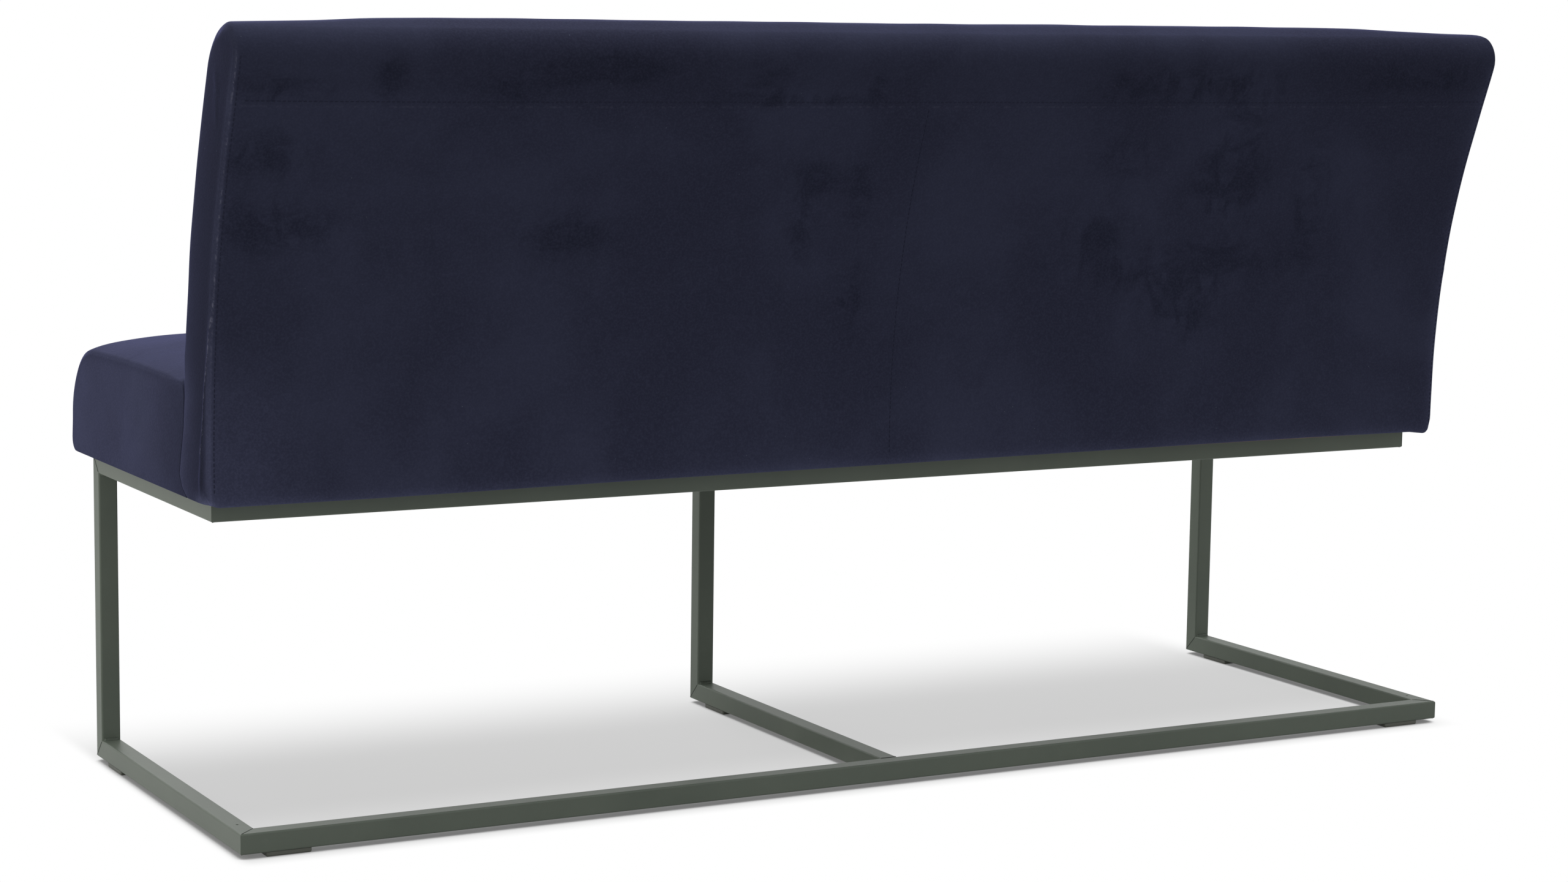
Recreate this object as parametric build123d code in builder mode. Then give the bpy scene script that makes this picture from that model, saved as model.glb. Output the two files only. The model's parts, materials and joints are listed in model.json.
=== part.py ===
from build123d import *
from math import asin, atan2, cos, degrees, hypot, sin
import os

# Dining bench: an upholstered seat and back on a welded frame of square steel tube.
# Millimetres. X runs along the bench, the sitter looks along -Y, +Z is up and the floor is Z = 0.
# The sitter's left hand is at +X.

os.makedirs("parts", exist_ok=True)

# Overall sizes of the bench
bench_length = 1600.0
bench_height = 864.0
end_overhang = 16.0
front_overhang = 28.0
rear_overhang = 41.5

# Steel frame
tube = 22.0
tube_wall = 1.5
tube_corner = 2.0
frame_height = 356.0
floor_depth = 504.0
seat_frame_depth = 420.0
drain_hole = 3.0
drain_inset = 42.0

# Plastic glides under the floor frame
glide_height = 5.0
glide_length = 50.0
glide_width = 20.0
glide_edge = 2.0
glide_front_inset = 40.0
glide_end_inset = 28.0
peg_diameter = 7.0
peg_length = 5.0
peg_spacing = 28.0
peg_clearance = 0.2

# Upholstery cloth
cover_thickness = 1.5
turn_under = 32.0
seat_back_gap = 0.4

# Seat form: the seam is the edge of the flat end panels, the crown rises above it
seat_seam_height = 121.0
seat_crown = 21.0
seat_top_bow = 3.0
seat_front_radius = 58.0
seat_lower_radius = 16.0
seat_front_draw = 5.0
seat_crown_zone = 180.0
seat_stations = (0.0, 8.0, 30.0, 80.0, 180.0)

# Back form: upright at its foot, then bent back on one radius to a straight, leaning top
back_thickness = 95.0
back_straight_foot = 44.0
back_bend_radius = 930.0
back_straight_top = 119.5
back_rear_radius = 28.0
back_front_radius = 42.0
back_top_draw = 10.0
back_front_draw = 4.0
back_rear_draw = 3.0
back_crown_zone = 260.0
back_stations = (0.0, 8.0, 40.0, 110.0, 260.0)
back_seam_drop = 76.0
edge_round = 5.0
crown_power = 4

# Timber inside the seat
wood_thickness = 25.0
seat_wood_height = 60.0
seat_front_foam = 25.0
deck_thickness = 9.0
corner_block = 60.0
corner_block_height = 40.0

# Timber inside the back
back_core_depth = 46.0
back_bolt_edge = 11.0
back_board = 3.0
back_top_foam = 26.0
back_bottom_rail = 50.0
back_top_rail = 45.0
post_width = 28.0
lumbar_rail = 70.0
lumbar_height = 200.0

# Fasteners
seat_bolt = 6.0
seat_bolt_length = 20.0
seat_bolt_inset = 70.0
seat_head_diameter = 11.0
seat_head_height = 3.5
washer_diameter = 14.0
washer_thickness = 1.2
access_clearance = 1.0
seat_insert_diameter = 10.0
seat_insert_length = 15.0
rear_bolt_inset = 174.0
back_bolt = 8.0
back_bolt_length = 60.0
back_head_diameter = 14.0
back_head_height = 4.5
back_insert_diameter = 12.0
back_insert_length = 25.0
bolt_clearance = 0.6
thread_clearance = 0.1
socket_share = 0.5

# Worked-out places along X and Z
half_length = bench_length / 2
frame_half = half_length - end_overhang
rail_x = frame_half - tube / 2
floor_tube_z = glide_height + tube / 2
seat_base_z = glide_height + frame_height
seat_tube_z = seat_base_z - tube / 2
wood_z = seat_base_z + cover_thickness
deck_z = wood_z + seat_wood_height
foam_z = deck_z + deck_thickness
wood_half = rail_x + wood_thickness / 2
cross_x = rail_x / 2
post_spacing = (wood_half - post_width / 2) / 2
rear_bolt_spacing = 2 * (rail_x - rear_bolt_inset) / 3

# Places along Y, first measured back from the front faces of the legs
# The lean is what brings the top of the front roll to the bench's height
back_bend_z = seat_base_z + back_straight_foot
roll_radius = back_bend_radius + back_thickness - back_front_radius
roll_along = back_straight_top - back_front_radius
roll_rise = bench_height - back_front_radius - back_bend_z
lean = asin(roll_rise / hypot(roll_radius, roll_along)) - atan2(roll_along, roll_radius)
back_lean = degrees(lean)
back_rear_reach = (
    seat_frame_depth + rear_overhang + back_bend_radius
    - (back_bend_radius + back_rear_radius) * cos(lean)
    + (back_straight_top - back_rear_radius) * sin(lean) + back_rear_radius
)

# The origin is under the middle of the whole bench, so the legs stand ahead of it
leg_front_y = (front_overhang - back_rear_reach) / 2
leg_y = leg_front_y + tube / 2
floor_rear_y = leg_front_y + floor_depth
seat_frame_rear_y = leg_front_y + seat_frame_depth
seat_front_y = leg_front_y - front_overhang
back_rear_y = seat_frame_rear_y + rear_overhang
back_front_y = back_rear_y - back_thickness
seat_rear_y = back_front_y - seat_back_gap
bend_centre_y = back_rear_y + back_bend_radius
wood_front_y = seat_front_y + cover_thickness + seat_front_foam
rear_bolt_y = seat_frame_rear_y - tube / 2
core_front_y = rear_bolt_y - back_bolt_edge

# Depths inside the back, measured forward from its rear face
core_front = back_rear_y - core_front_y
core_rear = core_front - back_core_depth
wood_top_along = back_straight_top - cover_thickness - back_top_foam
seam_along = back_straight_top - back_seam_drop

sides = (("left", 1), ("right", -1))
frames = (("left", rail_x), ("middle", 0.0), ("right", -rail_x))


def save(piece, name):
    """Label a finished piece and write its STEP file."""
    piece.part.label = name
    export_step(piece.part, f"parts/{name}.step")


def tube_run(start, direction, length):
    """Square tube from the middle of its first end."""
    with BuildSketch(Plane(origin=start, z_dir=direction)) as ring:
        RectangleRounded(tube, tube, tube_corner)
        RectangleRounded(
            tube - 2 * tube_wall, tube - 2 * tube_wall, max(tube_corner - tube_wall, 0.3), mode=Mode.SUBTRACT
        )
    extrude(ring.sketch, amount=length)


def cut(corner, keep_towards):
    """Saw the part through a corner point and keep the side that the direction points to."""
    split(bisect_by=Plane(origin=corner, z_dir=keep_towards), keep=Keep.TOP)


def drill(places, diameter, depth):
    """Upright holes, each centred on its place."""
    with Locations(*places):
        Cylinder(radius=diameter / 2, height=depth, mode=Mode.SUBTRACT)


def drill_rail(places):
    """Bolt holes through the upper wall of a seat rail, and holes for the heads through its lower wall."""
    drill(places, seat_hole, 2 * tube)
    drill([(x, y, z - tube / 2) for x, y, z in places], access_hole, 4 * tube_wall)


def block(x_span, y_span, z_span, mode=Mode.ADD):
    """Box between two limits on each axis."""
    middle = [(low + high) / 2 for low, high in (x_span, y_span, z_span)]
    with Locations(tuple(middle)):
        Box(x_span[1] - x_span[0], y_span[1] - y_span[0], z_span[1] - z_span[0], mode=mode)


# Bolts through the seat rails, and the pegs of the glides
end_bolt_ys = (leg_front_y + seat_bolt_inset, core_front_y - seat_bolt_inset)
rail_bolts = {
    name: [(x, y, seat_tube_z) for y in end_bolt_ys]
    for name, x in frames
}
rear_bolts = [
    (x * rear_bolt_spacing, rear_bolt_y, seat_tube_z)
    for x in (-1.5, -0.5, 0.5, 1.5)
]
seat_bolt_places = [place for name, x in frames for place in rail_bolts[name]] + rear_bolts
seat_hole = seat_bolt + bolt_clearance
access_hole = washer_diameter + access_clearance
glide_front_y = leg_front_y + glide_front_inset + glide_length / 2
glide_end_x = frame_half - glide_end_inset - glide_length / 2
floor_rail_y = floor_rear_y - tube / 2
peg_hole = peg_diameter + peg_clearance
peg_hole_depth = 4 * tube_wall

# Three legs, mitred to the runner below and to the seat rail above
for name, x in frames:
    with BuildPart() as leg:
        tube_run((x, leg_y, glide_height), (0, 0, 1), frame_height)
        cut((x, leg_front_y, glide_height), (0, -1, 1))
        cut((x, leg_front_y, seat_base_z), (0, -1, -1))
    save(leg, f"leg_{name}")

# Three floor runners: the end ones are mitred into the rear floor rail, the middle one butts on it
for name, x in frames:
    side = (x > 0) - (x < 0)
    run = floor_depth if side else floor_depth - tube
    with BuildPart() as runner:
        tube_run((x, leg_front_y, floor_tube_z), (0, 1, 0), run)
        cut((x, leg_front_y, glide_height), (0, 1, -1))
        if side:
            cut((side * frame_half, floor_rear_y, glide_height), (side, -1, 0))
            drill([(x, floor_rear_y - drain_inset, glide_height + tube)], drain_hole, 4 * tube_wall)
        pegs = [(x, glide_front_y + step * peg_spacing / 2, glide_height) for step in (-1, 1)]
        drill(pegs, peg_hole, peg_hole_depth)
    save(runner, f"runner_{name}")

# Rear floor rail
with BuildPart() as floor_rail:
    tube_run((-frame_half, floor_rail_y, floor_tube_z), (1, 0, 0), 2 * frame_half)
    for name, side in sides:
        cut((side * frame_half, floor_rear_y, glide_height), (-side, 1, 0))
        pegs = [
            (side * glide_end_x + step * peg_spacing / 2, floor_rail_y, glide_height)
            for step in (-1, 1)
        ]
        drill(pegs, peg_hole, peg_hole_depth)
save(floor_rail, "floor_rail_rear")

# Three seat rails, mitred to the legs; the end ones are mitred into the rear seat rail too
for name, x in frames:
    side = (x > 0) - (x < 0)
    run = seat_frame_depth if side else seat_frame_depth - tube
    with BuildPart() as seat_rail:
        tube_run((x, leg_front_y, seat_tube_z), (0, 1, 0), run)
        cut((x, leg_front_y, seat_base_z), (0, 1, 1))
        if side:
            cut((side * frame_half, seat_frame_rear_y, seat_tube_z), (side, -1, 0))
        drill_rail(rail_bolts[name])
    save(seat_rail, f"seat_rail_{name}")

# Rear seat rail
with BuildPart() as seat_rail_rear:
    tube_run((-frame_half, rear_bolt_y, seat_tube_z), (1, 0, 0), 2 * frame_half)
    for name, side in sides:
        cut((side * frame_half, seat_frame_rear_y, seat_tube_z), (-side, 1, 0))
    drill_rail(rear_bolts)
save(seat_rail_rear, "seat_rail_rear")

# Front seat rail, in two lengths between the three leg frames
for name, side in sides:
    with BuildPart() as seat_rail_front:
        tube_run((side * tube / 2, leg_y, seat_tube_z), (side, 0, 0), rail_x - tube)
    save(seat_rail_front, f"seat_rail_front_{name}")

# Five glides, each with two pegs pressed up into its tube
glides = [(f"front_{name}", (x, glide_front_y), 90) for name, x in frames]
glides += [(f"rear_{name}", (side * glide_end_x, floor_rail_y), 0) for name, side in sides]
for name, place, turn in glides:
    with BuildPart(Plane.XY.move(Location((*place, 0), (0, 0, turn)))) as glide:
        Box(glide_length, glide_width, glide_height, align=(Align.CENTER, Align.CENTER, Align.MIN))
        fillet(glide.edges().filter_by(Axis.Z), glide_edge)
        fillet(glide.edges().group_by(Axis.Z)[0], glide_edge)
        with Locations(*[(step * peg_spacing / 2, 0, glide_height) for step in (-1, 1)]):
            Cylinder(peg_diameter / 2, peg_length, align=(Align.CENTER, Align.CENTER, Align.MIN))
    save(glide, f"glide_{name}")

# Seat bolts and washers, which sit inside the rails under their upper wall, and threaded inserts
bolt_head_z = seat_base_z - tube_wall - washer_thickness
with BuildPart() as seat_bolts:
    for x, y, z in seat_bolt_places:
        with Locations((x, y, bolt_head_z)):
            Cylinder(seat_bolt / 2, seat_bolt_length, align=(Align.CENTER, Align.CENTER, Align.MIN))
            Cylinder(
                seat_head_diameter / 2, seat_head_height, align=(Align.CENTER, Align.CENTER, Align.MAX)
            )
        with BuildSketch(Plane(origin=(x, y, bolt_head_z - seat_head_height))):
            RegularPolygon(seat_bolt * socket_share, 6)
        extrude(amount=seat_head_height * socket_share, mode=Mode.SUBTRACT)
save(seat_bolts, "seat_bolts")

with BuildPart() as seat_washers:
    for x, y, z in seat_bolt_places:
        with BuildSketch(Plane(origin=(x, y, bolt_head_z))):
            Circle(washer_diameter / 2)
            Circle(seat_hole / 2, mode=Mode.SUBTRACT)
        extrude(amount=washer_thickness)
save(seat_washers, "seat_washers")

with BuildPart() as seat_inserts:
    for x, y, z in seat_bolt_places:
        with BuildSketch(Plane(origin=(x, y, wood_z))):
            Circle(seat_insert_diameter / 2)
            Circle(seat_bolt / 2 + thread_clearance, mode=Mode.SUBTRACT)
        extrude(amount=seat_insert_length)
save(seat_inserts, "seat_inserts")


def bolt_up(places):
    """Holes from below for the inserts of the seat bolts and for the bolts' tips."""
    for x, y, z in places:
        drill([(x, y, wood_z)], seat_insert_diameter + 2 * thread_clearance, 2 * seat_insert_length)
        drill([(x, y, wood_z)], seat_hole, 2 * seat_bolt_length)


def level_drill(places, diameter, depth):
    """Level holes along Y, each starting at its place and running to the rear."""
    for x, y, z in places:
        with BuildSketch(Plane(origin=(x, y, z), z_dir=(0, 1, 0))) as bore:
            Circle(diameter / 2)
        extrude(bore.sketch, amount=depth, mode=Mode.SUBTRACT)


# Timber frame of the seat, which runs back to the bottom rail of the back
seat_wood_z = (wood_z, deck_z)
inner_front_y = wood_front_y + wood_thickness
inner_rear_y = core_front_y - wood_thickness
back_bolt_z = wood_z + min(seat_wood_height, back_bottom_rail) / 2
back_bolt_places = [
    (x * rear_bolt_spacing, inner_rear_y, back_bolt_z)
    for x in (-1.25, -0.25, 0.25, 1.25)
]
back_hole = back_bolt + bolt_clearance

with BuildPart() as seat_wood_front:
    block((-wood_half, wood_half), (wood_front_y, inner_front_y), seat_wood_z)
save(seat_wood_front, "seat_wood_front")

with BuildPart() as seat_wood_rear:
    block((-wood_half, wood_half), (inner_rear_y, core_front_y), seat_wood_z)
    level_drill(back_bolt_places, back_hole, wood_thickness)
save(seat_wood_rear, "seat_wood_rear")

crosses = [("wood_left", rail_x, "left"), ("cross_left", cross_x, None)]
crosses += [("cross_middle", 0.0, "middle"), ("cross_right", -cross_x, None)]
crosses += [("wood_right", -rail_x, "right")]
for name, x, bolted in crosses:
    with BuildPart() as seat_cross:
        block((x - wood_thickness / 2, x + wood_thickness / 2), (inner_front_y, inner_rear_y), seat_wood_z)
        if bolted:
            bolt_up(rail_bolts[bolted])
    save(seat_cross, f"seat_{name}")

with BuildPart() as seat_corner_blocks:
    corner_x = rail_x - wood_thickness / 2
    for name, side in sides:
        for corner_y, inward in ((inner_front_y, 1), (inner_rear_y, -1)):
            with BuildSketch(Plane.XY.offset(deck_z - corner_block_height)):
                with BuildLine():
                    Polyline(
                        (side * corner_x, corner_y),
                        (side * (corner_x - corner_block), corner_y),
                        (side * corner_x, corner_y + inward * corner_block),
                        close=True,
                    )
                make_face()
            extrude(amount=corner_block_height)
save(seat_corner_blocks, "seat_corner_blocks")

with BuildPart() as seat_deck:
    block((-wood_half, wood_half), (wood_front_y, core_front_y), (deck_z, foam_z))
save(seat_deck, "seat_deck")

# Cloth under the seat, inside the velvet that is turned under all round
dust_x = wood_half - turn_under
dust_y = (wood_front_y + turn_under, back_rear_y - core_rear - turn_under)
cloth_holes = [(x, y, seat_base_z) for x, y, z in seat_bolt_places]
with BuildPart() as dust_cover:
    block((-dust_x, dust_x), dust_y, (seat_base_z, wood_z))
    drill(cloth_holes, seat_hole, 4 * cover_thickness)
save(dust_cover, "dust_cover")


def ease(distance, zone):
    """How far the form is drawn in at a distance from its end: 1 at the end, 0 past the zone."""
    return max(1 - distance / zone, 0) ** crown_power


def stations(distances, shrink):
    """Places along X with their distance from the nearer end, from one end to the other."""
    reach = half_length - shrink
    ends = [(reach - distance, distance) for distance in distances]
    return [(-x, distance) for x, distance in ends] + [(x, distance) for x, distance in reversed(ends)]


def seat_section(x, distance, shrink):
    """Outline of the seat across its length, drawn in towards the ends."""
    drawn = ease(distance, seat_crown_zone)
    turned = edge_round if distance == 0 else 0
    front = seat_front_y + shrink + seat_front_draw * drawn
    bottom = seat_base_z + shrink + turned
    top = seat_base_z + seat_seam_height + seat_crown * (1 - drawn) - shrink
    lower = seat_lower_radius - shrink
    upper = seat_front_radius - shrink
    with BuildSketch(Plane.YZ.offset(x)) as outline:
        with BuildLine():
            Line((seat_rear_y, bottom), (front + lower, bottom))
            CenterArc((front + lower, bottom + lower), lower, 270, -90)
            Line((front, bottom + lower), (front, top - seat_top_bow - upper))
            CenterArc((front + upper, top - seat_top_bow - upper), upper, 180, -90)
            ThreePointArc(
                (front + upper, top - seat_top_bow),
                ((front + upper + seat_rear_y) / 2, top),
                (seat_rear_y, top - seat_top_bow),
            )
            Line((seat_rear_y, top - seat_top_bow), (seat_rear_y, bottom))
        make_face()
    return outline.sketch


def back_point(inward, along):
    """Point at a depth forward of the rear face and a distance up the straight, leaning top."""
    reach = back_bend_radius + inward
    y = bend_centre_y - reach * cos(lean) + along * sin(lean)
    z = back_bend_z + reach * sin(lean) + along * cos(lean)
    return (y, z)


def back_section(x, distance, shrink):
    """Outline of the back across its length, drawn in towards the ends."""
    drawn = ease(distance, back_crown_zone)
    turned = edge_round if distance == 0 else 0
    rear = shrink + back_rear_draw * drawn
    front = back_thickness - shrink - back_front_draw * drawn - turned
    top = back_straight_top - shrink - back_top_draw * drawn - turned
    bottom = seat_base_z + shrink + turned
    rear_round = back_rear_radius - shrink
    front_round = min(back_front_radius, back_thickness - back_rear_radius - 3 * edge_round) - shrink
    hub = (bend_centre_y, back_bend_z)
    with BuildSketch(Plane.YZ.offset(x)) as outline:
        with BuildLine():
            Line((back_rear_y - front, bottom), (back_rear_y - rear, bottom))
            Line((back_rear_y - rear, bottom), (back_rear_y - rear, back_bend_z))
            CenterArc(hub, back_bend_radius + rear, 180, -back_lean)
            Line(back_point(rear, 0), back_point(rear, top - rear_round))
            CenterArc(back_point(rear + rear_round, top - rear_round), rear_round, -back_lean, 90)
            Line(back_point(rear + rear_round, top), back_point(front - front_round, top))
            CenterArc(back_point(front - front_round, top - front_round), front_round, 90 - back_lean, 90)
            Line(back_point(front, top - front_round), back_point(front, 0))
            CenterArc(hub, back_bend_radius + front, 180 - back_lean, back_lean)
            Line((back_rear_y - front, back_bend_z), (back_rear_y - front, bottom))
        make_face()
    return outline.sketch


def soft_form(section, distances, shrink):
    """Crowned solid lofted through the outlines of a cushion."""
    with BuildPart() as form:
        outlines = [section(x, distance, shrink) for x, distance in stations(distances, shrink)]
        loft(outlines, ruled=True)
    return form.part


def back_strip(rear, front, bottom, top, half_width):
    """Slab between two depths in the back, from a level bottom below the bend to a square top."""
    hub = (bend_centre_y, back_bend_z)
    with BuildSketch(Plane.YZ) as strip:
        with BuildLine():
            Line((back_rear_y - front, bottom), (back_rear_y - rear, bottom))
            Line((back_rear_y - rear, bottom), (back_rear_y - rear, back_bend_z))
            CenterArc(hub, back_bend_radius + rear, 180, -back_lean)
            Line(back_point(rear, 0), back_point(rear, top))
            Line(back_point(rear, top), back_point(front, top))
            Line(back_point(front, top), back_point(front, 0))
            CenterArc(hub, back_bend_radius + front, 180 - back_lean, back_lean)
            Line((back_rear_y - front, back_bend_z), (back_rear_y - front, bottom))
        make_face()
    extrude(strip.sketch, amount=half_width, both=True)


def back_rear_zone(mode):
    """Everything behind the middle of the back and below its rear seam."""
    beyond = -back_thickness
    back_middle = back_thickness / 2
    hub = (bend_centre_y, back_bend_z)
    with BuildSketch(Plane.YZ) as zone:
        with BuildLine():
            Line((back_rear_y - back_middle, 0), (back_rear_y - back_middle, back_bend_z))
            CenterArc(hub, back_bend_radius + back_middle, 180, -back_lean)
            Line(back_point(back_middle, 0), back_point(back_middle, seam_along))
            Line(back_point(back_middle, seam_along), back_point(beyond, seam_along))
            Line(back_point(beyond, seam_along), (back_point(beyond, seam_along)[0], 0))
            Line((back_point(beyond, seam_along)[0], 0), (back_rear_y - back_middle, 0))
        make_face()
    extrude(zone.sketch, amount=bench_length, both=True, mode=mode)


# Seat: foam over the timber, and a velvet cover in three panels
seat_outer = soft_form(seat_section, seat_stations, 0.0)
seat_inner = soft_form(seat_section, seat_stations, cover_thickness)
under_wood = (wood_front_y, core_front_y)

with BuildPart() as seat_foam:
    add(seat_inner)
    block((-wood_half, wood_half), under_wood, (0, foam_z), Mode.SUBTRACT)
save(seat_foam, "seat_foam")

panel_x = half_length - cover_thickness
with BuildPart() as seat_cover:
    add(seat_outer)
    add(seat_inner, mode=Mode.SUBTRACT)
    block((-dust_x, dust_x), dust_y, (0, foam_z), Mode.SUBTRACT)
    drill(cloth_holes, seat_hole, 4 * cover_thickness)

with BuildPart() as seat_cover_top:
    add(seat_cover.part)
    for name, side in sides:
        cut((side * panel_x, 0, 0), (-side, 0, 0))
save(seat_cover_top, "seat_cover_top")

for name, side in sides:
    with BuildPart() as seat_cover_end:
        add(seat_cover.part)
        cut((side * panel_x, 0, 0), (side, 0, 0))
    save(seat_cover_end, f"seat_cover_{name}")

# Timber of the back: two long rails with five posts between them, short lumbar rails from post to post,
# and a thin board on each face
posts = [(name, index * post_spacing) for name, index in (
    ("left", 2), ("inner_left", 1), ("middle", 0), ("inner_right", -1), ("right", -2)
)]
bottom_rail_z = wood_z + back_bottom_rail
top_rail_along = wood_top_along - back_top_rail

with BuildPart() as back_wood_bottom:
    back_strip(core_rear, core_front, wood_z, wood_top_along, wood_half)
    cut((0, 0, bottom_rail_z), (0, 0, -1))
    bolt_up(rear_bolts)
    level_drill(
        [(x, core_front_y, z) for x, y, z in back_bolt_places],
        back_insert_diameter + 2 * thread_clearance, back_insert_length,
    )
    level_drill(
        [(x, core_front_y, z) for x, y, z in back_bolt_places],
        back_hole, back_bolt_length - wood_thickness + back_bolt,
    )
save(back_wood_bottom, "back_wood_bottom")

top_cut = (0, *back_point(core_rear, top_rail_along))
with BuildPart() as back_wood_top:
    back_strip(core_rear, core_front, wood_z, wood_top_along, wood_half)
    cut(top_cut, (0, sin(lean), cos(lean)))
save(back_wood_top, "back_wood_top")

for name, x in posts:
    with BuildPart() as back_post:
        back_strip(core_rear, core_front, wood_z, wood_top_along, half_length)
        cut((0, 0, bottom_rail_z), (0, 0, 1))
        cut(top_cut, (0, -sin(lean), -cos(lean)))
        cut((x - post_width / 2, 0, 0), (1, 0, 0))
        cut((x + post_width / 2, 0, 0), (-1, 0, 0))
    save(back_post, f"back_post_{name}")

lumbar_z = bottom_rail_z + lumbar_height
with BuildPart() as back_lumbar_rails:
    back_strip(core_front - wood_thickness, core_front, wood_z, wood_top_along, posts[0][1])
    cut((0, 0, lumbar_z - lumbar_rail / 2), (0, 0, 1))
    cut((0, 0, lumbar_z + lumbar_rail / 2), (0, 0, -1))
    for name, x in posts:
        post_x = (x - post_width / 2, x + post_width / 2)
        block(post_x, (-bench_length, bench_length), (0, bench_height), Mode.SUBTRACT)
save(back_lumbar_rails, "back_lumbar_rails")

with BuildPart() as back_board_front:
    back_strip(core_front, core_front + back_board, wood_z, wood_top_along, wood_half)
    cut((0, 0, foam_z), (0, 0, 1))
save(back_board_front, "back_board_front")

with BuildPart() as back_board_rear:
    back_strip(core_rear - back_board, core_rear, wood_z, wood_top_along, wood_half)
save(back_board_rear, "back_board_rear")

# Bolts that tie the back's bottom rail to the seat's rear rail
with BuildPart() as back_bolts:
    for x, y, z in back_bolt_places:
        with BuildSketch(Plane(origin=(x, y, z), z_dir=(0, 1, 0))):
            Circle(back_bolt / 2)
        extrude(amount=back_bolt_length)
        with BuildSketch(Plane(origin=(x, y, z), z_dir=(0, -1, 0))):
            Circle(back_head_diameter / 2)
        extrude(amount=back_head_height)
        with BuildSketch(Plane(origin=(x, y - back_head_height, z), z_dir=(0, 1, 0))):
            RegularPolygon(back_bolt * socket_share, 6)
        extrude(amount=back_head_height * socket_share, mode=Mode.SUBTRACT)
save(back_bolts, "back_bolts")

with BuildPart() as back_inserts:
    for x, y, z in back_bolt_places:
        with BuildSketch(Plane(origin=(x, core_front_y, z), z_dir=(0, 1, 0))):
            Circle(back_insert_diameter / 2)
            Circle(back_bolt / 2 + thread_clearance, mode=Mode.SUBTRACT)
        extrude(amount=back_insert_length)
save(back_inserts, "back_inserts")

# Back: foam round the timber in front and behind, and a velvet cover in five panels
back_outer = soft_form(back_section, back_stations, 0.0)
back_inner = soft_form(back_section, back_stations, cover_thickness)

with BuildPart() as back_core:
    back_strip(core_rear - back_board, core_front + back_board, 0, wood_top_along, wood_half)
    block((-wood_half, wood_half), under_wood, (0, foam_z))

with BuildPart() as back_foam:
    add(back_inner)
    add(back_core.part, mode=Mode.SUBTRACT)

with BuildPart() as back_foam_front:
    add(back_foam.part)
    back_rear_zone(Mode.SUBTRACT)
save(back_foam_front, "back_foam_front")

with BuildPart() as back_foam_rear:
    add(back_foam.part)
    back_rear_zone(Mode.INTERSECT)
save(back_foam_rear, "back_foam_rear")

with BuildPart() as back_cover:
    add(back_outer)
    add(back_inner, mode=Mode.SUBTRACT)
    block((-dust_x, dust_x), dust_y, (0, foam_z), Mode.SUBTRACT)
    drill(cloth_holes, seat_hole, 4 * cover_thickness)
    block((-wood_half, wood_half), under_wood, (wood_z, foam_z), Mode.SUBTRACT)

with BuildPart() as back_cover_body:
    add(back_cover.part)
    for name, side in sides:
        cut((side * panel_x, 0, 0), (-side, 0, 0))

with BuildPart() as back_cover_front:
    add(back_cover_body.part)
    back_rear_zone(Mode.SUBTRACT)
save(back_cover_front, "back_cover_front")

for name, side in sides:
    with BuildPart() as back_cover_rear:
        add(back_cover_body.part)
        back_rear_zone(Mode.INTERSECT)
        cut((0, 0, 0), (side, 0, 0))
    save(back_cover_rear, f"back_cover_rear_{name}")

    with BuildPart() as back_cover_end:
        add(back_cover.part)
        cut((side * panel_x, 0, 0), (side, 0, 0))
    save(back_cover_end, f"back_cover_{name}")
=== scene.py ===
import json
import math

import bpy
import numpy as np
from mathutils import Matrix, Vector

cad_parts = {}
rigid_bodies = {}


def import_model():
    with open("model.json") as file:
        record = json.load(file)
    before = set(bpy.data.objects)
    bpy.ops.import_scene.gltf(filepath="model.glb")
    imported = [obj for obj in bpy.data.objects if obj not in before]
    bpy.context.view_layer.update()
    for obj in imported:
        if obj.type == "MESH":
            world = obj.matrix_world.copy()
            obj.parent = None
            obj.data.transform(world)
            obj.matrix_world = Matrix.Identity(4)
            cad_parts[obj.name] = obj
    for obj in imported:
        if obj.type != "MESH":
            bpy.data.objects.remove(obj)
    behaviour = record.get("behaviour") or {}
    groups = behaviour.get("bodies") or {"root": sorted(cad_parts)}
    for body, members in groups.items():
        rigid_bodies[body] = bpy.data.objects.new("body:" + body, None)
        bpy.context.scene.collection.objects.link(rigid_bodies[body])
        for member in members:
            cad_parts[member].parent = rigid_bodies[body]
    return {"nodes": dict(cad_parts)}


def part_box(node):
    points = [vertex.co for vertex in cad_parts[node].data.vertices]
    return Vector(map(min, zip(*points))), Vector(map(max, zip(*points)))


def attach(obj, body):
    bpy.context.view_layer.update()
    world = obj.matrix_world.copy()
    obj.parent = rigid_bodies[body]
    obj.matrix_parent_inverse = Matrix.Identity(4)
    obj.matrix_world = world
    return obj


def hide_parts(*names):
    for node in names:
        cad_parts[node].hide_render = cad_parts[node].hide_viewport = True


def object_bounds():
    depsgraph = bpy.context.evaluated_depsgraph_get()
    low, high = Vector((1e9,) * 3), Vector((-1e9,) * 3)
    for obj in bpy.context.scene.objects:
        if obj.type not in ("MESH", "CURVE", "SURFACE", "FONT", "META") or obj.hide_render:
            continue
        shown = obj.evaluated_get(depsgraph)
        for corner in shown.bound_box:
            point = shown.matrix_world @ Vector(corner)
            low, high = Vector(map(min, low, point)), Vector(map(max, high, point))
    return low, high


# Dining bench: velvet seat and back on a painted frame of square steel tube.
# Metres. X runs along the bench, the sitter looks along -Y, and the floor is Z = 0.

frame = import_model()
cad_low, cad_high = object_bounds()
nodes = frame["nodes"]
scene = bpy.context.scene
scene.view_settings.view_transform = "Standard"
draws = np.random.default_rng(7)

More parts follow.
